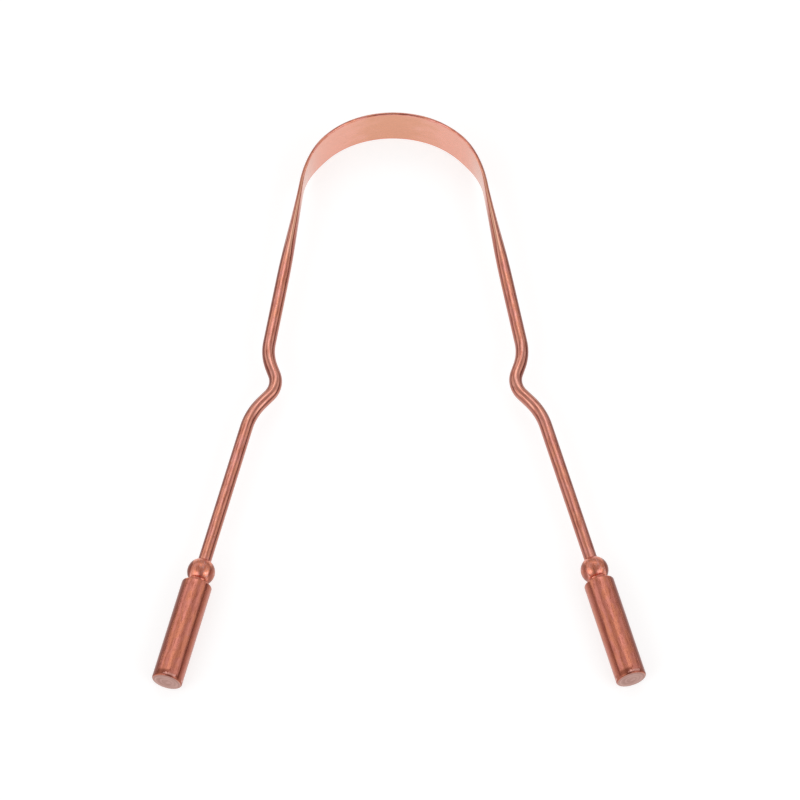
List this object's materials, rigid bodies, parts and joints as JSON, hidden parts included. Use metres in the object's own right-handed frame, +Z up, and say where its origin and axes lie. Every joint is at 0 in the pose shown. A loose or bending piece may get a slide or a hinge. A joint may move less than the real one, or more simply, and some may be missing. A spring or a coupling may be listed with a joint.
{
  "type": "tongue scraper",
  "caption": "U-shaped tongue scraper: a wire rolled flat into a scraping band at the crown, with kinked round arms that end in turned grips with a ball and a barrel.",
  "frame": {"origin": "on the surface the tool lies on, under the middle of its bounding box", "axes": "+X across the span of the two arms, +Y from the grips up to the crown of the bow, +Z up from the surface it lies on"},
  "size_m": [0.0966, 0.1301, 0.0097],
  "materials": {
    "bow_copper": "satin copper, brushed along the wire",
    "handle_copper": "satin copper, turned"
  },
  "bodies": {
    "root": {"scraper_bow": "bow_copper", "left_handle": "handle_copper", "right_handle": "handle_copper"}
  },
  "joints": []
}
